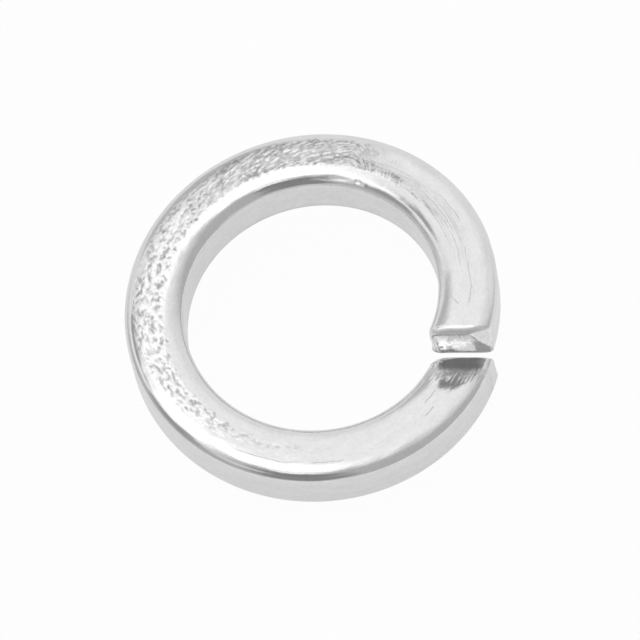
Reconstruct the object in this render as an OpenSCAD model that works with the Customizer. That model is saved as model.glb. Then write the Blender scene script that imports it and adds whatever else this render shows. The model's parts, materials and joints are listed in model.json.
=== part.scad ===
// Spring lock washer: one ring of square-section spring steel wire, coiled for a single turn
// and sheared across, so that its two ends stand apart in height.
// The bore's axis is Z. Seen from above the ring climbs clockwise, from its low end on the table
// to its raised end, and the split lies on +X. Lengths are millimetres, angles are degrees.

/* [Section] */
// Diameter of the bore
bore_d = 16.2; // [8:0.1:40]
// Width of the wire, across the ring
section_w = 3.7; // [2.8:0.1:7]
// Thickness of the wire, along the axis
section_t = 3.55; // [2.6:0.05:7]
// Reach of each rounded edge over the top or bottom face
edge_w = 0.65; // [0.3:0.05:0.8]
// Reach of each rounded edge down the wall
edge_h = 0.5; // [0.2:0.05:0.6]
// Width of the strip beside each rounded edge where the face falls away slightly
crown_w = 0.4; // [0.1:0.05:0.6]
// Fall of the face over that strip
crown_drop = 0.04; // [0.01:0.01:0.1]

/* [Coil] */
// Height over both ends when nothing presses on the washer
free_h = 7.3; // [5:0.05:12]

/* [Split] */
// Gap between the planes of the two cut faces, measured level and square to the cut
cut_gap = 0.15; // [0.1:0.05:1.5]
// Angle between the cut and a radial line, seen from above
cut_skew = 17; // [0:1:25]
// Lean of both cut faces, so that the raised end overhangs and the low end's foot stands forward
cut_lean = 6.5; // [0:0.5:10]
// Radius of the edge where the blade entered, at the raised end's top and the low end's bottom
entry_r = 0.6; // [0.4:0.05:0.7]
// Angle round that edge at which it meets the cut face in a crease
entry_turn = 62; // [40:2:70]
// Radius round the rest of each cut face
roll_r = 0.12; // [0.1:0.02:0.3]

/* [Hidden] */

// Stations along one turn, and steps in each crowned strip, rounded edge and rolled edge
turn_stations = 120;
crown_steps = 2;
edge_steps = 4;
roll_steps = 4;
wall_fn = 180;

// The wire's outline runs this far past the walls, which the two cylinders then cut true,
// and its rounded edges run straight on from where they stand this steep
wall_over = 0.08;
edge_steep = 70;
// Height on the walls over which the entry edge's roll fades into the plain one
fade_h = 1.2;
// Room above and below the ring for the cutting cylinders
end_room = 1;

r_in = bore_d / 2;
r_out = r_in + section_w;
r_mid = (r_in + r_out) / 2;
rise = free_h - section_t;

// Slope at which the crowned strip meets the rounded edge, and the edge's angles there and at its end
crown_slope = 2 * crown_drop / crown_w;
edge_start = atan(crown_slope * edge_w / edge_h);
edge_end = atan(tan(edge_steep) * edge_w / edge_h);
// Reach of the rounded edge over the face, and its reach together with the crown
edge_reach = edge_w * (1 - sin(edge_start));
face_reach = crown_w + edge_reach;

// Distance from the bore's axis to the middle plane of the cut
cut_offset = r_mid * sin(cut_skew);

// Azimuth at radius r of the plane that lies off from the cut's middle, clockwise if positive
function cut_azimuth(r, off) = cut_skew - asin((cut_offset + off) / r);

// Offset of the plane that lies depth inside a cut face, at height z over the wire's underside.
// end is 1 at the low end and -1 at the raised end
function face_off(end, depth, z) =
    end * (cut_gap / 2 + depth) + (z + (end > 0 ? 0 : rise) - free_h / 2) * tan(cut_lean);

// Depth of the entry edge, and the largest offset that either end's rolled edges reach
entry_depth = entry_r * sin(entry_turn);
deepest = max(face_off(1, entry_depth, 0), face_off(1, roll_r, section_t));

// Angle climbed where the low end first stands at full thickness, and where the raised end last does
climb_start = -cut_azimuth(r_out - face_reach, face_off(1, entry_depth, 0));
climb_end = 360 - cut_azimuth(r_in + face_reach, face_off(-1, entry_depth, section_t));
function climb_z(climbed) = rise * (climbed - climb_start) / (climb_end - climb_start);

// One corner of the wire's outline, from the flat face over the crown and round the edge to the wall.
// side is 1 at the outer wall and -1 at the bore, up is 1 at the top and -1 at the bottom.
// inset draws the wall in and drop draws the face in
function corner(side, up, inset, drop) =
    let (
        wall_r = (side > 0 ? r_out : r_in) - side * inset,
        face_z = (up > 0 ? section_t - drop : drop),
        edge_drop = crown_drop + edge_h * cos(edge_start),
        reach = inset > 0 ? 0 : wall_over,
        run = edge_w * (1 - sin(edge_end)) + reach
    )
    [
        for (k = [0 : crown_steps])
            let (t = k / crown_steps)
            [wall_r - side * (edge_reach + crown_w * (1 - t)), face_z - up * crown_drop * t * t],
        for (k = [1 : edge_steps])
            let (a = edge_start + (edge_end - edge_start) * k / edge_steps)
            [wall_r - side * edge_w * (1 - sin(a)), face_z - up * (edge_drop - edge_h * cos(a))],
        [wall_r + side * reach, face_z - up * (edge_drop - edge_h * cos(edge_end) + run * tan(edge_steep))]
    ];

// A wall's two points, where the entry edge's roll has faded out at either end of the ring
function wall(side, inset) = [
    for (z = [section_t - fade_h, fade_h])
        [(side > 0 ? r_out : r_in) + side * (inset > 0 ? -inset : wall_over), z]
];

function reversed(list) = [for (k = [len(list) - 1 : -1 : 0]) list[k]];

// The wire's outline as [radius, height]. Its first half runs down the outer side and its second
// half runs up the bore's side, over the same heights
function outline(inset, top_drop, bottom_drop) = concat(
    corner(1, 1, inset, top_drop), wall(1, inset), reversed(corner(1, -1, inset, bottom_drop)),
    corner(-1, -1, inset, bottom_drop), reversed(wall(-1, inset)), reversed(corner(-1, 1, inset, top_drop))
);

function place(r, azimuth, climbed, z) = [r * cos(azimuth), r * sin(azimuth), z + climb_z(climbed)];

function by_entry(end, z) = end > 0 ? z < fade_h : z > section_t - fade_h;

// One station of an end's rolled edges, which run from behind the roll (t = 0) to the cut face (t = 1)
function rolled_station(end, t) =
    let (
        depth = roll_r * (1 - sin(90 * t)),
        inset = roll_r * (1 - cos(90 * t)),
        deep = entry_r * (sin(entry_turn) - sin(entry_turn * t)),
        drop = entry_r * (1 - cos(entry_turn * t))
    )
    [
        for (p = outline(inset, end > 0 ? inset : drop, end > 0 ? drop : inset))
            let (
                azimuth = cut_azimuth(p[0], face_off(end, by_entry(end, p[1]) ? deep : depth, p[1])),
                climbed = (end > 0 ? 0 : 360) - azimuth
            )
            place(p[0], azimuth, climbed, p[1])
    ];

function rolled_stations(end) = [for (k = [0 : roll_steps]) rolled_station(end, 1 - k / roll_steps)];

// The outline turned clockwise from the cut by the given angle
function turned_station(angle) = [
    for (p = outline(0, 0, 0))
        let (azimuth = cut_azimuth(p[0], 0) - angle)
        place(p[0], azimuth, -azimuth, p[1])
];

// The turned stations start where they are clear of the rolled edges, also at the bore
turn_start = asin((cut_offset + deepest) / r_in) - asin(cut_offset / r_in) + 180 / turn_stations;
turned_stations = [
    for (k = [0 : turn_stations])
        turned_station(turn_start + (360 - 2 * turn_start) * k / turn_stations)
];

coil_stations = concat(rolled_stations(1), turned_stations, reversed(rolled_stations(-1)));
coil_points = [for (station = coil_stations) each station];
outline_n = len(coil_stations[0]);
last_base = (len(coil_stations) - 1) * outline_n;

// A cut face is a ladder of strips between the outline's two halves
ladder = [
    for (k = [0 : outline_n / 2 - 2])
        [k, k + 1, outline_n - 2 - k, outline_n - 1 - k]
];

coil_faces = concat(
    ladder,
    [
        for (i = [0 : len(coil_stations) - 2], k = [0 : outline_n - 1], half = [0, 1])
            let (
                near = i * outline_n + k,
                near_next = i * outline_n + (k + 1) % outline_n,
                far = near + outline_n,
                far_next = near_next + outline_n
            )
            half == 0 ? [near, far, far_next] : [near, far_next, near_next]
    ],
    [for (rung = ladder) reversed([for (k = rung) last_base + k])]
);

module wall_cylinder(radius) {
    translate([0, 0, -end_room])
        cylinder(r = radius, h = free_h + 2 * end_room, $fn = wall_fn);
}

module lock_washer() {
    color([0.80, 0.81, 0.82])
    difference() {
        intersection() {
            polyhedron(points = coil_points, faces = coil_faces, convexity = 8);
            wall_cylinder(r_out);
        }
        wall_cylinder(r_in);
    }
}

lock_washer();
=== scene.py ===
"""Looks of the spring lock washer: one coiled turn of square wire, sheared across and bright plated."""
import json
import math

import bpy
import numpy as np
from mathutils import Matrix, Vector


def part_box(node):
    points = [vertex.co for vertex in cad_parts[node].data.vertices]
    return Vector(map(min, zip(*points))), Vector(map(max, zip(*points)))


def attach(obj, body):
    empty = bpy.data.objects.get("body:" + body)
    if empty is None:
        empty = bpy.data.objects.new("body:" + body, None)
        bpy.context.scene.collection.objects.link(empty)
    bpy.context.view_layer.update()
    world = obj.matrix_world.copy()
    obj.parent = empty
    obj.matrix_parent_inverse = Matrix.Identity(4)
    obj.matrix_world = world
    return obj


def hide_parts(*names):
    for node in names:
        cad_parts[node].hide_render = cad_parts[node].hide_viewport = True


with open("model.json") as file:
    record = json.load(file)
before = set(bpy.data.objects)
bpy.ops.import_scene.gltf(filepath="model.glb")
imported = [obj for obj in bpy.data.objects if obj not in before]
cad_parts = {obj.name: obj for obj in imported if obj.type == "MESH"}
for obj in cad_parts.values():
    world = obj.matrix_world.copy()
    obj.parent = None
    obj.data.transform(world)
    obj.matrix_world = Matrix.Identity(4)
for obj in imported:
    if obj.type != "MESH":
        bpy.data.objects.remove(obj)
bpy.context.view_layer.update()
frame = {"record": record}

MM = 0.001

# Driving sizes in millimetres. Outer radius and free height are the frame's, the bore is the record's
NODE = "lock_washer"
node_low, node_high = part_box(NODE)
bore = next(mount for mount in frame["record"]["mounts"] if mount["name"] == "bore")
R_OUT = node_high[1] / MM
FREE_H = (node_high[2] - node_low[2]) / MM
R_IN = bore["dims"]["r_mm"]
SECTION_T = 3.55
CUT_GAP, CUT_SKEW, CUT_LEAN = 0.15, 17.0, 6.5

# Each corner of the wire: reach of the rounded edge over the face and down the wall, then width and
# fall of the crowned strip beside it
BORE_EDGE = (0.92, 0.62, 0.82, 0.09)
OUTER_EDGE = (0.76, 0.54, 0.68, 0.075)
UNDER_EDGE = (0.65, 0.5, 0.4, 0.04)

R_MID = (R_IN + R_OUT) / 2
RISE = FREE_H - SECTION_T

# The photograph's frame, in pixels, and the camera that was fitted to it
PHOTO_SIZE = 640
CAMERA_ELEVATION = 62.23
CAMERA_AZIMUTH = -60.18
CAMERA_ROLL = -11.96
CAMERA_DISTANCE = 413.0
PIXELS_PER_MM = 15.94
CENTRE_PX = (313.36, 315.09)

SEED = 7
# Cells after which the noise repeats, and the factor that brings it to about -1 to 1
LATTICE, NOISE_GAIN = 257, 1.5


def smooth(x, low, high):
    t = np.clip((x - low) / (high - low), 0, 1)
    return t * t * (3 - 2 * t)


def gradient_noise(x, y, seed):
    """Smooth noise between about -1 and 1 with one lattice cell per unit of x and y."""
    turns = np.random.default_rng(seed).uniform(0, 2 * math.pi, (LATTICE, LATTICE))
    gx, gy = np.cos(turns), np.sin(turns)
    xi, yi = np.floor(x).astype(int), np.floor(y).astype(int)
    fx, fy = x - xi, y - yi
    ease_x = fx ** 3 * (fx * (6 * fx - 15) + 10)
    ease_y = fy ** 3 * (fy * (6 * fy - 15) + 10)
    total = 0
    for dx in (0, 1):
        for dy in (0, 1):
            i, j = (xi + dx) % LATTICE, (yi + dy) % LATTICE
            weight = (ease_x if dx else 1 - ease_x) * (ease_y if dy else 1 - ease_y)
            total = total + weight * (gx[i, j] * (fx - dx) + gy[i, j] * (fy - dy))
    return total * NOISE_GAIN


# The wire's outline

# Steps in a crowned strip, in each half of a rounded edge, across the flat and down the wall
CROWN_STEPS, ARC_STEPS, FLAT_STEPS, WALL_STEPS = 10, 7, 16, 7
# Angle at which a rounded edge is split into the half that goes with the face and the one with the wall
EDGE_SPLIT = 48.0


def edge_start(edge):
    """Angle at which the crowned strip runs into the rounded edge without a step in slope."""
    reach_in, reach_down, crown_w, crown_drop = edge
    return math.degrees(math.atan(2 * crown_drop / crown_w * reach_in / reach_down))


def edge_point(edge, angle):
    """A point of a rounded edge: how far it lies short of the wall, and below the face."""
    a, start = math.radians(angle), math.radians(edge_start(edge))
    return edge[0] * (1 - math.sin(a)), edge[3] + edge[1] * (math.cos(start) - math.cos(a))


def face_reach(edge):
    return edge[2] + edge_point(edge, edge_start(edge))[0]


def shoulder(edge):
    """The crowned strip and the first half of the rounded edge, from the flat face outwards."""
    start = edge_start(edge)
    crown_end = edge_point(edge, start)[0]
    crown = [(crown_end + edge[2] * (1 - k / CROWN_STEPS), edge[3] * (k / CROWN_STEPS) ** 2)
             for k in range(CROWN_STEPS)]
    arc = [edge_point(edge, start + (EDGE_SPLIT - start) * k / ARC_STEPS) for k in range(ARC_STEPS + 1)]
    return np.array(crown + arc)


def column(edge):
    """The second half of the rounded edge, the straight wall, and the bottom's rounded edge."""
    angles = [EDGE_SPLIT + (90 - EDGE_SPLIT) * k / ARC_STEPS for k in range(ARC_STEPS + 1)]
    over = [edge_point(edge, angle) for angle in angles[1:]]
    under = [edge_point(UNDER_EDGE, angle) for angle in angles]
    straight = [(0, z) for z in np.linspace(over[-1][1], SECTION_T - under[-1][1], WALL_STEPS + 1)[1:-1]]
    return np.array(over + straight + [(short, SECTION_T - drop) for short, drop in reversed(under)])


def across_face(at_bore, outside):
    """A face's points from the bore outwards: its two shoulders and the flat between them."""
    flat = np.linspace(R_IN + at_bore[0, 0], R_OUT - outside[0, 0], FLAT_STEPS + 1)[1:-1]
    return np.vstack([at_bore[::-1] * (1, -1) + (R_IN, SECTION_T),
                      np.stack([flat, np.full(len(flat), SECTION_T)], -1),
                      outside * (-1, -1) + (R_OUT, SECTION_T)])


def section():
    """Four rows of (radius, height): top and bottom run outwards, the two walls run down."""
    top = across_face(shoulder(BORE_EDGE), shoulder(OUTER_EDGE))
    bottom = across_face(shoulder(UNDER_EDGE), shoulder(UNDER_EDGE)) * (1, -1) + (0, SECTION_T)
    outer = np.vstack([top[-1], column(OUTER_EDGE) * (-1, -1) + (R_OUT, SECTION_T)])
    inner = np.vstack([top[0], column(BORE_EDGE) * (1, -1) + (R_IN, SECTION_T)])
    return top, outer, bottom, inner


top_row, outer_row, bottom_row, inner_row = section()
N_W, N_T = len(top_row), len(outer_row)
outline = np.vstack([top_row, outer_row[1:], bottom_row[-2::-1], inner_row[-2:0:-1]])
N_OUT = len(outline)

# Stations along the ring, as the angle turned from the cut at the middle radius

# Distance from the bore's axis to the middle plane of the cut
cut_offset = R_MID * math.sin(math.radians(CUT_SKEW))


def cut_azimuth(r, off):
    """Azimuth at a radius of the plane that lies off from the cut's middle."""
    return CUT_SKEW - np.degrees(np.arcsin((cut_offset + off) / r))


def turned(depth):
    """Angle at the middle radius of the plane that lies this deep behind the cut's middle."""
    return -cut_azimuth(R_MID, depth)


ROLL_STEPS = 9
# Radius of the roll where the blade entered, at the raised and at the low end, and the angle where it
# ends, then radius at the bore's wall, radius round the rest, and the angle where those end
ENTRY_R, LOW_ENTRY_R, ENTRY_TURN = 0.71, 0.2, 60.0
BORE_ROLL_R, ROLL_R, ROLL_TURN = 0.42, 0.09, 80.0
# Depths below the entry side over which its roll fades into the walls' one
ENTRY_FADE = (1.25, 0.35)
# Distance from the bore's wall up to which an outline's point counts wholly as the bore's
BORE_SIDE = 0.2


def entry_height(end, z):
    """Height measured from the side where the cut ended towards the side where the blade entered."""
    return z if end < 0 else SECTION_T - z


def bore_share():
    """1 on the bore's side of the outline and 0 on the outer side."""
    return 1 - smooth(outline[:, 0], R_IN + BORE_SIDE, R_MID)


def rolled_rows(end):
    """Rows of (radius, height, depth) round one end's rolled edges, from the cut face into the ring."""
    r, z = outline.T
    height = entry_height(end, z)
    entry = smooth(height, SECTION_T - ENTRY_FADE[0], SECTION_T - ENTRY_FADE[1])
    wall_r = ROLL_R + (BORE_ROLL_R - ROLL_R) * bore_share()
    entry_r = np.full(N_OUT, ENTRY_R if end < 0 else LOW_ENTRY_R)
    if end < 0:
        pushed = corner_back(along_cut(r), np.full(N_OUT, SECTION_T))
        entry_r = entry_r - pushed / math.sin(math.radians(ENTRY_TURN))
    radius = wall_r + (entry_r - wall_r) * entry
    turn = ROLL_TURN + (ENTRY_TURN - ROLL_TURN) * entry
    across = (r - R_MID) / (R_OUT - R_MID)
    up = height / SECTION_T
    rows = []
    for k in range(ROLL_STEPS, -1, -1):
        angle = np.radians(turn * k / ROLL_STEPS)
        flat_turn = math.radians(ROLL_TURN * k / ROLL_STEPS)
        entry_drop = entry_r * (1 - math.cos(math.radians(ENTRY_TURN * k / ROLL_STEPS)))
        foot_drop = ROLL_R * (1 - math.cos(flat_turn))
        row_r = r - wall_r * (1 - math.cos(flat_turn)) * across * np.abs(across)
        row_height = height - entry_drop * up ** 3 + foot_drop * (1 - up) ** 3
        row_depth = radius * (np.sin(np.radians(turn)) - np.sin(angle))
        rows.append((row_r, entry_height(end, row_height), row_depth))
    return rows


# Depths behind a cut between which the stations turn from the cut's plane to the ring's own angle
NEAR_FIRST, NEAR_LAST = 0.75, 4.6
# Step between those stations, how much it grows, and the depths between which it does
NEAR_STEP, NEAR_GROWTH, NEAR_GROWS = 0.065, 0.07, (1.2, 3.0)
# Depths of the low end's extra stations, which keep its top even from just behind its rolled edge
LOW_EXTRA = (0.32, 0.42, 0.54, 0.65)
# Angle between the ring's other stations, and how much less it is between these azimuths
TURN_STEP, FINE_LESS = 0.95, 0.5
FINE_FROM, FINE_TO = (60, 72), (262, 274)


def stations():
    """Depths behind a cut, then angles turned: fine near the ends and in the mottled half."""
    near = [NEAR_FIRST]
    while near[-1] < NEAR_LAST:
        near.append(near[-1] + NEAR_STEP + NEAR_GROWTH * smooth(near[-1], *NEAR_GROWS))
    near[-1] = NEAR_LAST
    first = turned(CUT_GAP / 2 + near[-1])
    angles = [first]
    while angles[-1] < 360 - first:
        azimuth = -angles[-1] % 360
        fine = smooth(azimuth, *FINE_FROM) * (1 - smooth(azimuth, *FINE_TO))
        angles.append(angles[-1] + (TURN_STEP - FINE_LESS * fine))
    angles = np.array(angles)
    angles = first + (angles - first) * (360 - 2 * first) / (angles[-1] - first)
    return near, angles[1:-1]


def face_off(end, depth, z, lean_share=1.0):
    """Offset from the cut's middle of the plane that lies depth inside a leaning cut face."""
    level = z + (0 if end > 0 else RISE) - FREE_H / 2
    return end * (CUT_GAP / 2 + depth) + lean_share * level * math.tan(math.radians(CUT_LEAN))


def climb_limits():
    """Angles climbed where the low end first, and the raised end last, has its full thickness."""
    depth = ENTRY_R * math.sin(math.radians(ENTRY_TURN))
    start = -cut_azimuth(R_OUT - face_reach(OUTER_EDGE), face_off(1, depth, 0))
    end = 360 - cut_azimuth(R_IN + face_reach(BORE_EDGE), face_off(-1, depth, SECTION_T))
    return float(start), float(end)


CLIMB_START, CLIMB_END = climb_limits()


def climb_z(climbed):
    return RISE * (climbed - CLIMB_START) / (CLIMB_END - CLIMB_START)


# Shape of the raised end's face, in millimetres along the cut from the bore and up. Its outer upper
# corner was pushed back past a rounded border: where that starts, its reach and its roundness, then
# the slope past it in degrees and the most that the corner is pushed back
CORNER_FROM = (1.9, 1.3)
CORNER_REACH = (1.25, 2.15)
CORNER_POWER = 2.6
CORNER_SLOPE = 20.0
CORNER_MOST = 0.42
# Below these heights that border runs off the face by this much, and nearer the bore the push fades out
CORNER_BELOW, CORNER_OFF, CORNER_INSIDE = (0.9, 2.1), 4.0, (1.0, 2.2)
# Border of the broken foot: height at the bore and rise along the cut, then a step up and a fall, each
# with the distances along the cut between which it comes
FOOT_HEIGHT, FOOT_RISE = 0.35, 0.45
FOOT_STEP, FOOT_STEPS = 0.35, (2.0, 2.8)
FOOT_FALL, FOOT_FALLS = 1.3, (3.0, 4.0)


def along_cut(r):
    """Distance along the cut from the bore's wall."""
    return (r - R_IN) / math.cos(math.radians(CUT_SKEW))


def corner_back(along, z):
    """How far the raised end's outer upper corner lies behind the face."""
    gone = CORNER_OFF * (1 - smooth(z, *CORNER_BELOW))
    u = np.maximum((along - CORNER_FROM[0] - gone) / CORNER_REACH[0], 0)
    v = np.maximum((z - CORNER_FROM[1]) / CORNER_REACH[1], 0)
    past = np.maximum((u ** CORNER_POWER + v ** CORNER_POWER) ** (1 / CORNER_POWER) - 1, 0)
    past = past * (CORNER_REACH[0] + CORNER_REACH[1]) / 2 * smooth(along, *CORNER_INSIDE)
    back = past * math.tan(math.radians(CORNER_SLOPE))
    return CORNER_MOST * np.tanh(back / CORNER_MOST)


def foot_border(along):
    """Height up to which the raised end's face broke off rough, and below which it is painted dark as the
    shade of the gap.
    """
    rising = FOOT_HEIGHT + FOOT_RISE * along + FOOT_STEP * smooth(along, *FOOT_STEPS)
    return rising - FOOT_FALL * smooth(along, *FOOT_FALLS)


# How far the low end's outer wall is drawn in, and the depth behind the cut over which that fades out
LOW_TAPER, LOW_TAPER_DEPTH = 0.06, 1.6
# How far the raised end's lower corner at the bore is drawn out, how far up and across that reaches,
# and the depths behind the cut over which it fades out
SHARP_FOOT, SHARP_FOOT_REACH, SHARP_FOOT_FADE = 0.3, (0.7, 0.9), (0.3, 2.5)
# Depths behind a cut over which its lean and the pushed-back corner fade out
LEAN_FADE, CORNER_FADE = (0.3, 2.4), (0.1, 2.6)


def worked(end, r, z, depth):
    """The outline near a cut: the low end's outer wall drawn in, the raised end's bore corner sharper."""
    if end > 0:
        outside = smooth(r, R_MID, R_OUT)
        share = outside * np.sin(math.pi * z / SECTION_T) * (1 - smooth(depth, 0, LOW_TAPER_DEPTH))
        return r - LOW_TAPER * share, z
    up, across = SHARP_FOOT_REACH
    share = np.clip(1 - z / up, 0, 1) * np.clip(1 - (r - R_IN) / across, 0, 1)
    share = share * SHARP_FOOT * (1 - smooth(depth, *SHARP_FOOT_FADE))
    return r - share, z - share


def end_point(end, r, z, depth):
    """Radius, angle climbed and height of points behind a cut face. Deeper rows turn with the ring."""
    lean_share = 1 - smooth(depth, *LEAN_FADE)
    back = 0
    if end < 0:
        back = corner_back(along_cut(r), z) * (1 - smooth(depth, *CORNER_FADE))
    off = face_off(end, depth + back, z, lean_share)
    r, z = worked(end, r, z, depth)
    turning = smooth(depth, NEAR_FIRST, NEAR_LAST)
    rotated = cut_azimuth(r, 0) + cut_azimuth(R_MID, end * (CUT_GAP / 2 + depth))
    azimuth = (1 - turning) * cut_azimuth(r, off) + turning * rotated
    climbed = (0 if end > 0 else 360) - azimuth
    return r, climbed, z


def washer_rows():
    """Every station as arrays (radius, angle climbed, height), from the low end to the raised end."""
    near, angles = stations()
    r, z = outline.T
    rows = []
    for row_r, row_z, depth in rolled_rows(1):
        rows.append(end_point(1, row_r, row_z, depth))
    for depth in LOW_EXTRA + tuple(near):
        rows.append(end_point(1, r, z, np.full(N_OUT, depth)))
    for angle in angles:
        rows.append((r, angle - cut_azimuth(r, 0), z))
    for depth in reversed(near):
        rows.append(end_point(-1, r, z, np.full(N_OUT, depth)))
    for row_r, row_z, depth in reversed(rolled_rows(-1)):
        rows.append(end_point(-1, row_r, row_z, depth))
    return np.array(rows)


def cap_inside(border):
    """Fills the border of a cut face with a grid of points. border holds (radius, height) pairs."""
    top = border[:N_W]
    outer = border[N_W - 1:N_W + N_T - 1]
    bottom = border[N_W + N_T - 2:2 * N_W + N_T - 2][::-1]
    inner = np.vstack([border[2 * N_W + N_T - 3:], border[:1]])[::-1]
    h = ((top_row[:, 0] - top_row[0, 0]) / (top_row[-1, 0] - top_row[0, 0]))[None, 1:-1, None]
    v = ((outer_row[0, 1] - outer_row[:, 1]) / (outer_row[0, 1] - outer_row[-1, 1]))[1:-1, None, None]
    sides = (1 - v) * top[None, 1:-1] + v * bottom[None, 1:-1]
    sides = sides + (1 - h) * inner[1:-1, None] + h * outer[1:-1, None]
    corners = (1 - v) * ((1 - h) * top[0] + h * top[-1]) + v * ((1 - h) * bottom[0] + h * bottom[-1])
    return sides - corners


def cap_faces(loop, first_inside, flip):
    """Quads of a cut face. loop is the border's vertex numbers, inside rows follow one another."""
    grid = np.empty((N_T, N_W), int)
    grid[0] = loop[:N_W]
    grid[:, -1] = loop[N_W - 1:N_W + N_T - 1]
    grid[-1] = loop[N_W + N_T - 2:2 * N_W + N_T - 2][::-1]
    grid[:, 0] = np.concatenate([loop[2 * N_W + N_T - 3:], loop[:1]])[::-1]
    grid[1:-1, 1:-1] = first_inside + np.arange((N_T - 2) * (N_W - 2)).reshape(N_T - 2, N_W - 2)
    quads = np.stack([grid[:-1, :-1], grid[1:, :-1], grid[1:, 1:], grid[:-1, 1:]], -1).reshape(-1, 4)
    return quads[:, ::-1] if flip else quads


# Relief and marks of the surface. Sizes are in millimetres, along (s) and across (w or r) the ring.
# A pair of values is where something starts and where it is complete

# Azimuths between which the faces are mottled, and how far the ends of that stretch wander
PEEL_FROM, PEEL_TO, PEEL_WANDER = (76, 97), (246, 272), 8
# Degrees by which the mottling runs on beside the bore at its start and at its end, and the distances
# from the bore's wall over which it stops doing so
BESIDE_BORE_MORE, BESIDE_BORE = (14, 26), (1.6, 2.0)
# Distance of the mottled stretch's borders from the two walls, and how soft they are
BORE_BORDER, OUTER_BORDER = 1.28, 0.62
BORE_BORDER_SOFT, OUTER_BORDER_SOFT = 0.08, (0.12, 0.14)
# How much the outer border draws in, and the share of the mottling that is lost, with their azimuths
NARROWER, NARROWS = 0.95, (195, 262)
FAINTER, FAINTS = 0.4, (245, 270)
# Azimuths over which streaks give way to blots and over which the streaks come to slant, and the slant
BLOTS_FROM, SLANT_FROM, SLANT = (128, 172), (60, 95), 0.2
# Depth of the blots, height of the streaks, and darkness of the ground between the streaks
GROOVE_DEEP, STREAK_DEEP, STREAK_GROUND = 0.018, 0.018, 0.85
# Distance along the ring by which the bottom's mottling is shifted from the top's
BOTTOM_SHIFT = 37
# Heights of the shallow waves on the edges and faces, and distances from a wall where the edges' end
EDGE_WAVE, FACE_WAVE, EDGE_WAVE_TO = 0.0035, 0.007, (0.6, 1.3)
# Depths below the top over which a point comes to count as the top face, and as the upper part
TOP_FACE, UPPER_PART = (0.22, 0.1), (0.6, 0.2)
# Heights over which a point stops counting as the bottom face
BOTTOM_FACE = (0.04, 0.12)
# Nicks that catch the light in the rounded edges: azimuth and half length in degrees, then radius, half
# width and height
EDGE_NICKS = ((97.0, 8.5, R_IN + 0.3, 0.15, 0.05), (88.0, 2.2, R_IN + 0.3, 0.17, 0.06),
              (85.0, 1.6, R_IN + 0.2, 0.13, 0.05), (247.0, 6.0, R_OUT - 0.24, 0.12, 0.02))

# Angle climbed up to which a point belongs to the low end
LOW_END = 60
# Distances behind the low end's cut over which the scuffed top begins and fades out, how ragged it is,
# and where the smooth lip beside the cut, which carries a painted highlight, fades out
MARKED_FROM, MARKED_TO, MARKED_RAGGED = (0.5, 1.1), (1.0, 1.95), 0.35
LIP_TO = (0.4, 1.0)
# The top's dull streaks: azimuths, then distances from the bore's wall, where they begin and end
STREAKED_FROM, STREAKED_TO = (20, 50), (82, 104)
STREAKED_INSIDE, STREAKED_OUTSIDE = (1.1, 1.4), (1.9, 2.7)
# The painted contact shadow round the foot of the bore: height, and distance from the wall, over which it
# fades out
FOOT_LINE_UP, FOOT_LINE_OUT = (0.3, 0.62), (0.3, 0.6)
# What is left of the cut face's look behind the rolled edges, and where the raised end's roll, with its
# painted highlight, starts
CUT_LOOK_LEFT, ROLL_STARTS = 0.3, (0.1, 0.5)
# Depths below the top where the low end's broken face, which is painted dark as the shade of the gap, ends
LOW_BREAK = (0.5, 0.2)
# Reach of the raised end's crease, which is painted dark as the shade in it, down the wall, and the
# distances from the outer wall where it ends
CREASE_DOWN, CREASE_TO = 1, (1.4, 0.9)
# Softness of the broken foot's border on the rolled edges and on the face, its raggedness, the size of
# that, and how far the corner is pushed back where the facet ends
FOOT_SOFT_ROLL, FOOT_SOFT_FACE, FOOT_RAGGED, FOOT_CELL = 0.1, 0.12, 0.12, 0.3
FACET_TO = (0.02, 0.1)


def ring_noise(along, across, cell_along, cell_across, seed):
    """Smooth noise whose cells have the given sizes along and across the ring."""
    return gradient_noise(along / cell_along, across / cell_across, SEED + seed)


def valleys(noise, width):
    """1 along the lines where the noise changes sign, falling to 0 at the given noise value."""
    return np.maximum(1 - np.abs(noise) / width, 0)


def below_top(z, start, complete):
    """Rises from 0 to 1 as a point comes up from one depth below the top to another."""
    return smooth(z, SECTION_T - start, SECTION_T - complete)


def peel_mask(azimuth, s, r):
    """Share of the mottling, from its stretch of the ring, its two ragged borders and its own clouds."""
    wander = PEEL_WANDER * ring_noise(s, r, 1.1, 0.5, 1)
    by_bore = 1 - smooth(r - R_IN, *BESIDE_BORE)
    along = smooth(azimuth + wander + BESIDE_BORE_MORE[0] * by_bore, *PEEL_FROM)
    along = along * (1 - smooth(azimuth + wander - BESIDE_BORE_MORE[1] * by_bore, *PEEL_TO))
    ragged = 0.16 * ring_noise(s, r * 0, 0.3, 1, 4) + 0.1 * ring_noise(s, r * 0, 0.9, 1, 7)
    inner_side = smooth(r - R_IN + ragged - BORE_BORDER, -BORE_BORDER_SOFT, BORE_BORDER_SOFT)
    narrowing = NARROWER * smooth(azimuth, *NARROWS)
    from_border = R_OUT - r + ragged - OUTER_BORDER - narrowing
    outer_side = smooth(from_border, -OUTER_BORDER_SOFT[0], OUTER_BORDER_SOFT[1])
    faint = 1 - FAINTER * smooth(azimuth, *FAINTS)
    cloudy = np.clip(0.85 + 0.5 * ring_noise(s, r, 1.7, 0.9, 12), 0.3, 1.1)
    return along * inner_side * outer_side * faint * cloudy


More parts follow.
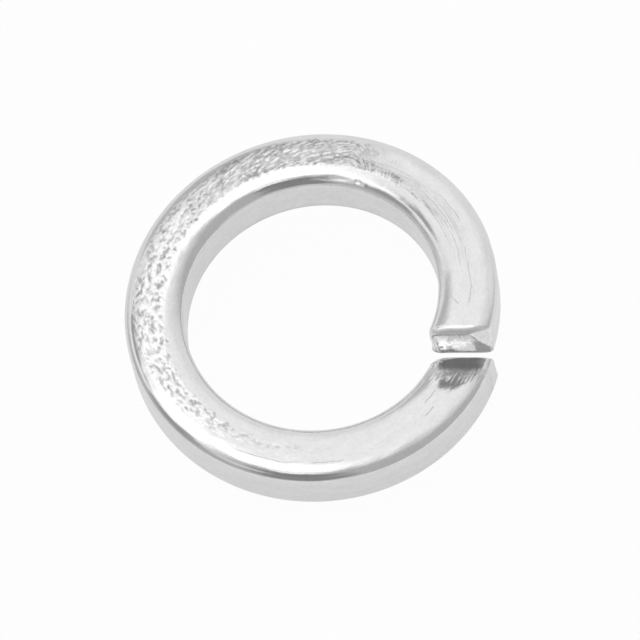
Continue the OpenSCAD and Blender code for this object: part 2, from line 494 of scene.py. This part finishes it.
def peel(azimuth, s, w):
    """Height and darkness of the mottling: bright streaks on a dull ground, later dark blots."""
    streaky = 1 - smooth(azimuth, *BLOTS_FROM)
    slant = w - SLANT * s * smooth(azimuth, *SLANT_FROM)
    streaks = ring_noise(s, slant, 0.55, 0.15, 2) + 0.5 * ring_noise(s, slant, 0.24, 0.12, 3)
    blots = ring_noise(s, w, 0.5, 0.3, 5) + 0.7 * ring_noise(s, w, 0.24, 0.17, 6)
    lines = valleys(ring_noise(s, w, 0.6, 0.4, 10), 0.3)
    raised = smooth(streaks, -0.05, 0.55)
    sunk = np.clip(0.8 * smooth(blots, 0.0, 0.6) + 0.8 * lines * smooth(blots, -0.5, 0.2), 0, 1)
    height = streaky * STREAK_DEEP * raised - (1 - streaky) * GROOVE_DEEP * sunk
    dark = streaky * (STREAK_GROUND - STREAK_GROUND * raised + 0.45 * smooth(-streaks, 0.25, 0.7))
    return height, np.clip(dark + (1 - streaky) * sunk, 0, 1)


def nicks(azimuth, r):
    """Small bright ledges pressed into the rounded edges."""
    total = 0
    for centre, half_length, radius, half_width, height in EDGE_NICKS:
        across = (r - radius) / half_width
        away = -1 if radius < R_MID else 1
        ledge = across * away * np.exp(-across ** 2)
        fade = 1 - smooth(np.abs(azimuth - centre), 0.2 * half_length, half_length)
        total = total + height * ledge * fade
    return total


def relieved(r, climbed, z):
    """Heights with mottling, waves and nicks, and the mottling's share and its darkness."""
    s, azimuth = np.radians(climbed) * R_MID, -climbed % 360
    faces_up, upper = below_top(z, *TOP_FACE), below_top(z, *UPPER_PART)
    faces_down = 1 - smooth(z, *BOTTOM_FACE)
    mask = peel_mask(azimuth, s, r)
    height, dark = peel(azimuth, s, r)
    below_height, below_dark = peel(azimuth, s + BOTTOM_SHIFT, r)
    on_edge = 1 - smooth(np.minimum(r - R_IN, R_OUT - r), *EDGE_WAVE_TO)
    wave = FACE_WAVE * ring_noise(s, r, 1.9, 0.9, 8)
    wave = wave + EDGE_WAVE * on_edge * ring_noise(s, r, 1.3, 0.35, 9)
    shares = {"peel": mask * np.maximum(faces_up, faces_down),
              "pits": mask * (dark * faces_up + below_dark * faces_down)}
    z = z + mask * (height * faces_up - below_height * faces_down)
    return z + wave * (upper - faces_down) + nicks(azimuth, r) * upper, shares


def marks(r, climbed, z):
    """Shares of the dull streaks, the low end's scuffed top and lip, and the painted contact shadow round
    the bore's foot.
    """
    s, azimuth = np.radians(climbed) * R_MID, -climbed % 360
    upper = below_top(z, *UPPER_PART)
    behind = r * np.sin(np.radians(CUT_SKEW + climbed)) - cut_offset
    at_low_end = climbed < LOW_END
    streaked = smooth(azimuth, *STREAKED_FROM) * (1 - smooth(azimuth, *STREAKED_TO)) * upper
    streaked = streaked * smooth(r - R_IN, *STREAKED_INSIDE) * (1 - smooth(r - R_IN, *STREAKED_OUTSIDE))
    ragged = MARKED_RAGGED * ring_noise(s, r, 2.0, 0.14, 11)
    return {
        "streaked": streaked,
        "near_cut": smooth(behind, *MARKED_FROM) * (1 - smooth(behind + ragged, *MARKED_TO)) * at_low_end,
        "lip": (1 - smooth(behind, *LIP_TO)) * at_low_end * upper,
        # Painted contact shadow where the bore's wall meets the floor
        "bore_foot": (1 - smooth(z, *FOOT_LINE_UP)) * (1 - smooth(r - R_IN, *FOOT_LINE_OUT)),
    }


def end_shares(r, z):
    """Shares of what shows on the two ends' rolled edges: cut face, broken steel painted dark as the gap's
    shade, roll with its painted highlight, and crease painted dark as its shade.
    """
    cut_face, broken, rolled, crease = (np.zeros(r.shape) for _ in range(4))
    low, raised = slice(0, ROLL_STEPS), slice(-ROLL_STEPS, None)
    cut_face[low] = np.linspace(1, CUT_LOOK_LEFT, ROLL_STEPS)[:, None]
    cut_face[raised] = cut_face[low][::-1]
    # The broken steel is also painted dark as the shade of the gap between the ends
    broken[low] = cut_face[low] * (1 - below_top(z[low], *LOW_BREAK))
    foot = foot_border(along_cut(r[raised]))
    broken[raised] = 1 - smooth(z[raised], foot - FOOT_SOFT_ROLL, foot + FOOT_SOFT_ROLL)
    # The roll is rougher and carries a painted highlight
    rolled[-ROLL_STEPS - 1:] = smooth(np.linspace(0, 1, ROLL_STEPS + 1), *ROLL_STARTS)[:, None]
    # The crease is painted dark as the shade that falls in it
    inside = 1 - smooth(r[-1], R_OUT - CREASE_TO[0], R_OUT - CREASE_TO[1])
    crease[-1] = (z[-1] > SECTION_T - CREASE_DOWN) * inside
    crease[-2] = crease[-1] / 2
    return {"cut_face": cut_face, "broken": broken, "rolled": rolled, "crease": crease,
            "facet": np.zeros(r.shape)}


def cut_faces():
    """Points inside the two cut faces as (radius, angle climbed, height), and their shares."""
    points, broken, facet = [], [], []
    for end in (1, -1):
        border_r, border_z, _ = rolled_rows(end)[0]
        r, z = cap_inside(np.stack([border_r, border_z], -1)).reshape(-1, 2).T
        points.append(end_point(end, r, z, np.zeros(len(r))))
        foot = foot_border(along_cut(r)) if end < 0 else SECTION_T
        ragged_z = z + FOOT_RAGGED * gradient_noise(r / FOOT_CELL, z / FOOT_CELL, SEED)
        # Broken steel: rougher, and painted dark as the shade of the gap
        broken.append(1 - smooth(ragged_z, foot - FOOT_SOFT_FACE, foot + FOOT_SOFT_FACE))
        pushed = corner_back(along_cut(r), z) if end < 0 else 1
        # The facet carries a painted highlight through the fresh share
        facet.append((1 - broken[-1]) * (1 - smooth(pushed, *FACET_TO)))
    broken, facet = np.concatenate(broken), np.concatenate(facet)
    return np.concatenate(points, 1), {"cut_face": np.ones(len(broken)), "broken": broken, "facet": facet}


def washer_faces(row_count):
    """Quads between the rows, then those of the low and of the raised cut face."""
    index = np.arange(row_count * N_OUT).reshape(row_count, N_OUT)
    here, there = index[:-1], index[1:]
    quads = np.stack([here, there, np.roll(there, -1, 1), np.roll(here, -1, 1)], -1).reshape(-1, 4)
    cap_size = (N_T - 2) * (N_W - 2)
    low_cap = cap_faces(index[0], row_count * N_OUT, True)
    high_cap = cap_faces(index[-1], row_count * N_OUT + cap_size, False)
    return np.concatenate([quads, low_cap, high_cap])


def build_washer():
    rows = washer_rows()
    r, climbed, flat_z = rows[:, 0], rows[:, 1], rows[:, 2]
    z, shares = relieved(r, climbed, flat_z)
    shares.update(marks(r, climbed, flat_z))
    shares.update(end_shares(r, z))
    cap_points, cap_shares = cut_faces()
    r, climbed, z = (np.concatenate([values.ravel(), on_cap])
                     for values, on_cap in zip((r, climbed, z), cap_points))
    azimuth = np.radians(-climbed)
    points = np.stack([r * np.cos(azimuth), r * np.sin(azimuth), z + climb_z(climbed)], -1) * MM

    mesh = bpy.data.meshes.new("washer")
    mesh.from_pydata(points.tolist(), [], washer_faces(len(rows)).tolist())
    mesh.update()
    mesh.polygons.foreach_set("use_smooth", [True] * len(mesh.polygons))

    none_on_cap = np.zeros(cap_points.shape[1])
    for name, share in shares.items():
        values = np.concatenate([share.ravel(), cap_shares.get(name, none_on_cap)])
        layer = mesh.attributes.new(name, "FLOAT", "POINT")
        layer.data.foreach_set("value", values.astype(np.float32))
    layer = mesh.attributes.new("ring", "FLOAT_VECTOR", "POINT")
    ring = np.stack([np.radians(climbed) * R_MID, r, z], -1)
    layer.data.foreach_set("vector", ring.astype(np.float32).ravel())

    washer = bpy.data.objects.new("washer", mesh)
    bpy.context.collection.objects.link(washer)
    return washer


# Materials

def node_tree(name):
    material = bpy.data.materials.new(name)
    material.use_nodes = True
    tree = material.node_tree
    tree.nodes.clear()
    return material, tree


def add(tree, kind, inputs=None, **settings):
    """Adds a node, sets its settings, and sets or links its inputs by name or number."""
    node = tree.nodes.new(kind)
    for key, value in settings.items():
        setattr(node, key, value)
    for key, value in (inputs or {}).items():
        socket = node.inputs[key]
        if isinstance(value, bpy.types.NodeSocket):
            tree.links.new(value, socket)
        else:
            socket.default_value = value
    return node


def spread(tree, value, low, high, to_low, to_high):
    """Maps a value from one range to another."""
    return add(tree, "ShaderNodeMapRange", {"Value": value, "From Min": low, "From Max": high,
                                            "To Min": to_low, "To Max": to_high}).outputs[0]


def math_node(tree, operation, first, second):
    return add(tree, "ShaderNodeMath", {0: first, 1: second}, operation=operation).outputs[0]


def plus(tree, first, second):
    return math_node(tree, "ADD", first, second)


def minus(tree, first, second):
    return math_node(tree, "SUBTRACT", first, second)


def times(tree, first, second):
    return math_node(tree, "MULTIPLY", first, second)


def noise(tree, vector, stretch, scale, detail=2.0):
    """Noise in the ring's own coordinates, which are millimetres along, across and up."""
    scaled = add(tree, "ShaderNodeVectorMath", {0: vector, 1: stretch}, operation="MULTIPLY")
    return add(tree, "ShaderNodeTexNoise", {"Vector": scaled.outputs[0], "Scale": scale,
                                            "Detail": detail}).outputs["Fac"]


def bump(tree, height, distance, below=None):
    inputs = {"Height": height, "Distance": distance * MM, "Strength": 1.0}
    if below:
        inputs["Normal"] = below
    return add(tree, "ShaderNodeBump", inputs).outputs["Normal"]


# Scratches in the top: middle along the ring, radius there, half length, slant and half width
SCRATCHES = ((58.3, 10.12, 2.9, 0.02, 0.035), (60.5, 9.3, 0.35, 0.8, 0.035), (56.6, 9.66, 1.5, -0.03, 0.03),
             (53.4, 10.5, 1.6, 0.02, 0.025), (3.6, 9.55, 0.7, 0.05, 0.03), (4.4, 10.2, 0.5, 0.08, 0.03),
             (14.9, 10.66, 2.6, 0.0, 0.03), (11.4, 10.62, 1.2, 0.02, 0.025), (30.0, 11.2, 2.4, -0.02, 0.03))
SCRATCH_WANDER = 0.4


def scratches(tree, ring):
    """1 along each scratch and 0 beside it."""
    place = add(tree, "ShaderNodeSeparateXYZ", {0: ring})
    wander = minus(tree, noise(tree, ring, (1.0, 0.0, 0.0), 0.8, 3.0), 0.5)
    total = None
    for middle, radius, half_length, slant, half_width in SCRATCHES:
        along = minus(tree, place.outputs["X"], middle)
        line = add(tree, "ShaderNodeMath", {0: along, 1: slant, 2: radius}, operation="MULTIPLY_ADD")
        line = add(tree, "ShaderNodeMath", {0: wander, 1: SCRATCH_WANDER, 2: line.outputs[0]},
                   operation="MULTIPLY_ADD")
        beside = math_node(tree, "ABSOLUTE", minus(tree, place.outputs["Y"], line.outputs[0]), 0)
        reach = math_node(tree, "ABSOLUTE", along, 0)
        one = times(tree, spread(tree, beside, 0, half_width, 1, 0),
                    spread(tree, reach, half_length * 0.7, half_length, 1, 0))
        total = one if total is None else math_node(tree, "MAXIMUM", total, one)
    upper = spread(tree, place.outputs["Z"], SECTION_T - 0.5, SECTION_T - 0.2, 0, 1)
    return times(tree, total, upper)


# Noise in the steel: stretch along, across and up the ring, then cells in a millimetre and detail
NOISES = {
    "cloud": ((0.5, 1.2, 1.2), 1.6, 4.0),
    "grain": ((1.0, 1.0, 1.0), 9.0, 3.0),
    "brushing": ((0.22, 6.0, 6.0), 1.6, 3.0),
    "speckle": ((0.8, 1.0, 1.0), 5.5, 3.0),
    "torn": ((1.0, 2.4, 0.7), 3.0, 4.0),
    "drawn_lines": ((0.5, 3.2, 1.0), 2.0, 3.0),
    "dents": ((1.0, 1.4, 1.0), 2.2, 3.0),
    "drawn": ((0.35, 6.0, 1.0), 1.6, 3.0),
}
# Heights of the bumps that this noise makes, in millimetres, and depth of a scratch
BUMPS = {"cloud": 0.012, "brushing": 0.0022, "drawn_lines": 0.05, "speckle": 0.014, "torn": 0.014,
         "dents": 0.06, "drawn": 0.014}
SCRATCH_DEPTH = 0.008

# Base brightness of the plating, what is taken off where it is scuffed, streaked or scratched, and the
# painted highlight added on the roll and on the fresh facet and lip
PLATING = (0.8, 0.88)
SCUFFED, STREAKED_DARK, SCRATCH_DARK = (-0.06, 0.04), 0.16, 0.1
PAINTED_HIGHLIGHTS = {"rolled": 0.14, "fresh": 0.08}
# Share of the brightness that is lost in the pits, and what is left of it under painted shade: on the
# broken steel in the gap, in the crease and in the contact shadow at the bore's foot
PIT_DARK = 0.55
PAINTED_SHADE_LEFT = {"broken": 0.72, "crease": 0.38, "bore_foot": 0.68}
# Roughness where smooth, then in the pits, on the cut faces, on the scuffed top and on the roll
SMOOTH = (0.09, 0.16)
ROUGH = {"pitted": 0.2, "cut_face": 0.04, "near_cut": 0.3, "rolled": 0.4}
# Shares that stay: of the roughness where fresh, of the common bumps by a cut, of the torn ones on a facet
FRESH_ROUGH, CALM, FACET_TORN = 0.6, 0.15, 0.25


def steel_tint(tree, share, grit, groove):
    mixed = plus(tree, times(tree, grit["cloud"], 0.5), times(tree, grit["speckle"], 0.5))
    plain = spread(tree, mixed, 0.36, 0.64, PLATING[0], PLATING[1])
    tint = times(tree, plain, spread(tree, share["pitted"], 0, 1, 1, 1 - PIT_DARK))
    scuffed = spread(tree, grit["torn"], 0.4, 0.7, SCUFFED[0], SCUFFED[1])
    tint = minus(tree, tint, times(tree, share["cut_face"], scuffed))
    dull = spread(tree, grit["brushing"], 0.4, 0.6, 0.0, STREAKED_DARK)
    tint = minus(tree, tint, times(tree, share["streaked"], dull))
    tint = minus(tree, tint, times(tree, groove, SCRATCH_DARK))
    # Painted highlights: the roll and the fresh facet and lip are made lighter
    for name, amount in PAINTED_HIGHLIGHTS.items():
        tint = plus(tree, tint, times(tree, share[name], amount))
    # Painted shade: the broken steel in the gap, the crease, and the contact shadow at the bore's foot
    for name, left in PAINTED_SHADE_LEFT.items():
        tint = times(tree, tint, spread(tree, share[name], 0, 1, 1, left))
    return add(tree, "ShaderNodeCombineColor", {"Red": tint, "Green": tint, "Blue": tint}).outputs["Color"]


def steel_roughness(tree, share, grit):
    rough = spread(tree, grit["grain"], 0.3, 0.7, SMOOTH[0], SMOOTH[1])
    for name, roughness in ROUGH.items():
        rough = plus(tree, rough, times(tree, share[name], roughness - SMOOTH[0]))
    return times(tree, rough, spread(tree, share["fresh"], 0, 1, 1, FRESH_ROUGH))


def steel_surface(tree, share, grit, groove):
    by_cut = math_node(tree, "MAXIMUM", share["cut_face"], share["lip"])
    calm = spread(tree, by_cut, 0, 1, 1, CALM)
    torn = times(tree, share["cut_face"], spread(tree, share["broken"], 0, 1, FACET_TORN, 1))
    where = {"cloud": calm, "brushing": calm, "drawn_lines": share["streaked"], "speckle": share["peel"],
             "torn": torn, "dents": share["near_cut"], "drawn": share["near_cut"]}
    surface = None
    for name, height in BUMPS.items():
        surface = bump(tree, times(tree, grit[name], where[name]), height, surface)
    return bump(tree, groove, -SCRATCH_DEPTH, surface)


def steel():
    material, tree = node_tree("bright_plating")
    ring = add(tree, "ShaderNodeAttribute", attribute_name="ring").outputs["Vector"]
    names = ("peel", "pits", "cut_face", "near_cut", "broken", "rolled", "crease", "streaked", "lip",
             "bore_foot", "facet")
    share = {name: add(tree, "ShaderNodeAttribute", attribute_name=name).outputs["Fac"] for name in names}
    grit = {name: noise(tree, ring, *kind) for name, kind in NOISES.items()}
    share["pitted"] = times(tree, share["pits"], spread(tree, grit["speckle"], 0.35, 0.65, 0.45, 1.3))
    # The fresh facet and lip are smoother and carry a painted highlight
    share["fresh"] = math_node(tree, "MAXIMUM", share["facet"], share["lip"])
    groove = scratches(tree, ring)
    shader = add(tree, "ShaderNodeBsdfPrincipled", {
        "Base Color": steel_tint(tree, share, grit, groove), "Metallic": 1.0,
        "Roughness": steel_roughness(tree, share, grit),
        "Normal": steel_surface(tree, share, grit, groove)})
    add(tree, "ShaderNodeOutputMaterial", {"Surface": shader.outputs["BSDF"]})
    return material


# Share of the table's own white in what the camera sees, and in what the metal mirrors
GLOW_SEEN, GLOW_IN_METAL = 0.965, 0.52


def table_paper():
    material, tree = node_tree("table")
    path = add(tree, "ShaderNodeLightPath")
    mirrored = add(tree, "ShaderNodeMath", {0: path.outputs["Is Glossy Ray"],
                                            1: path.outputs["Is Transmission Ray"]}, operation="MAXIMUM")
    mirrored = add(tree, "ShaderNodeMath", {0: mirrored.outputs[0], 1: GLOW_IN_METAL}, operation="MULTIPLY")
    share = add(tree, "ShaderNodeMath", {0: path.outputs["Is Camera Ray"], 1: GLOW_SEEN,
                                         2: mirrored.outputs[0]}, operation="MULTIPLY_ADD")
    paper = add(tree, "ShaderNodeBsdfDiffuse", {"Color": (0.9, 0.9, 0.9, 1)})
    glow = add(tree, "ShaderNodeEmission", {"Color": (1, 1, 1, 1), "Strength": 1.0})
    mix = add(tree, "ShaderNodeMixShader", {0: share.outputs[0], 1: paper.outputs[0], 2: glow.outputs[0]})
    add(tree, "ShaderNodeOutputMaterial", {"Surface": mix.outputs[0]})
    return material


# The studio

# Half the floor's side, and how far it lies below the part, in metres
FLOOR_HALF, FLOOR_BELOW = 8.0, 0.00001


def build_floor():
    mesh = bpy.data.meshes.new("floor")
    sides = ((-1, -1), (1, -1), (1, 1), (-1, 1))
    corners = [(x * FLOOR_HALF, y * FLOOR_HALF, -FLOOR_BELOW) for x, y in sides]
    mesh.from_pydata(corners, [], [(0, 1, 2, 3)])
    floor = bpy.data.objects.new("floor", mesh)
    bpy.context.collection.objects.link(floor)
    mesh.materials.append(table_paper())


# Soft light and dark patches of the studio, laid over one another in this order. Each has its
# azimuth from the camera's side (left is negative), elevation, inner and outer radius, and level
STUDIO_LEVEL = 0.48
HORIZON_LEVEL, HORIZON_REACH = 0.66, 0.2
STUDIO_PATCHES = {
    "back wall": (172, 24, 40, 78, 0.8),
    "behind, high": (178, 60, 8, 26, 0.95),
    "left window": (-112, 54, 12, 28, 0.95),
    "left back corner": (-128, 53, 5, 11, 0.36),
    "back, left": (-160, 33, 8, 18, 0.52),
    "left gap": (-84, 40, 9, 19, 0.34),
    "camera side": (-16, 34, 13, 27, 0.26),
    "camera side, high": (-20, 64, 9, 17, 0.24),
    "left strip": (-54, 52, 6, 14, 0.7),
    "left, high": (-112, 66, 6, 11, 1.25),
    "overhead": (-160, 78, 8, 15, 1.3),
    "overhead, camera side": (-27, 82, 3.5, 6.5, 1.12),
}


def build_world():
    world = bpy.data.worlds.new("studio")
    bpy.context.scene.world = world
    world.use_nodes = True
    tree = world.node_tree
    tree.nodes.clear()
    direction = add(tree, "ShaderNodeTexCoord").outputs["Generated"]

    def cosine(azimuth, elevation):
        a, e = math.radians(CAMERA_AZIMUTH + azimuth), math.radians(elevation)
        axis = (math.cos(a) * math.cos(e), math.sin(a) * math.cos(e), math.sin(e))
        return add(tree, "ShaderNodeVectorMath", {0: direction, 1: axis},
                   operation="DOT_PRODUCT").outputs["Value"]

    low = add(tree, "ShaderNodeMapRange", {
        "Value": cosine(0, 90), "From Min": 0.0, "From Max": HORIZON_REACH,
        "To Min": HORIZON_LEVEL, "To Max": STUDIO_LEVEL}, interpolation_type="SMOOTHSTEP")
    level = low.outputs["Result"]
    for azimuth, elevation, inner, outer, patch_level in STUDIO_PATCHES.values():
        share = add(tree, "ShaderNodeMapRange", {
            "Value": cosine(azimuth, elevation), "From Min": math.cos(math.radians(outer)),
            "From Max": math.cos(math.radians(inner))}, interpolation_type="SMOOTHSTEP")
        mix = add(tree, "ShaderNodeMix", {0: share.outputs["Result"], 2: level, 3: patch_level})
        level = mix.outputs[0]
    sky = add(tree, "ShaderNodeBackground", {"Color": (1, 1, 1, 1), "Strength": level})
    add(tree, "ShaderNodeOutputWorld", {"Surface": sky.outputs[0]})


def build_camera():
    """The camera that was fitted to the photograph, moved a little so that the centre lands there."""
    e, a, roll = (math.radians(v) for v in (CAMERA_ELEVATION, CAMERA_AZIMUTH, CAMERA_ROLL))
    back = Vector((math.cos(a) * math.cos(e), math.sin(a) * math.cos(e), math.sin(e)))
    right = Vector((-math.sin(a), math.cos(a), 0))
    up = back.cross(right)
    x_axis = math.cos(roll) * right + math.sin(roll) * up
    y_axis = -math.sin(roll) * right + math.cos(roll) * up
    aim_right = (PHOTO_SIZE / 2 - CENTRE_PX[0]) / PIXELS_PER_MM
    aim_up = (CENTRE_PX[1] - PHOTO_SIZE / 2) / PIXELS_PER_MM
    centre = Vector((0, 0, FREE_H / 2)) + aim_right * x_axis + aim_up * y_axis
    data = bpy.data.cameras.new("camera")
    data.sensor_width = 36
    data.lens = data.sensor_width * PIXELS_PER_MM * CAMERA_DISTANCE / PHOTO_SIZE
    data.clip_start, data.clip_end = 0.01, 50
    camera = bpy.data.objects.new("camera", data)
    bpy.context.collection.objects.link(camera)
    turn = Matrix((x_axis, y_axis, back)).transposed().to_4x4()
    camera.matrix_world = Matrix.Translation((centre + back * CAMERA_DISTANCE) * MM) @ turn
    bpy.context.scene.camera = camera


build_camera()
build_world()
build_floor()
washer = build_washer()
washer.data.materials.append(steel())
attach(washer, "root")
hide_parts(NODE)

bpy.context.scene.view_settings.view_transform = "Standard"
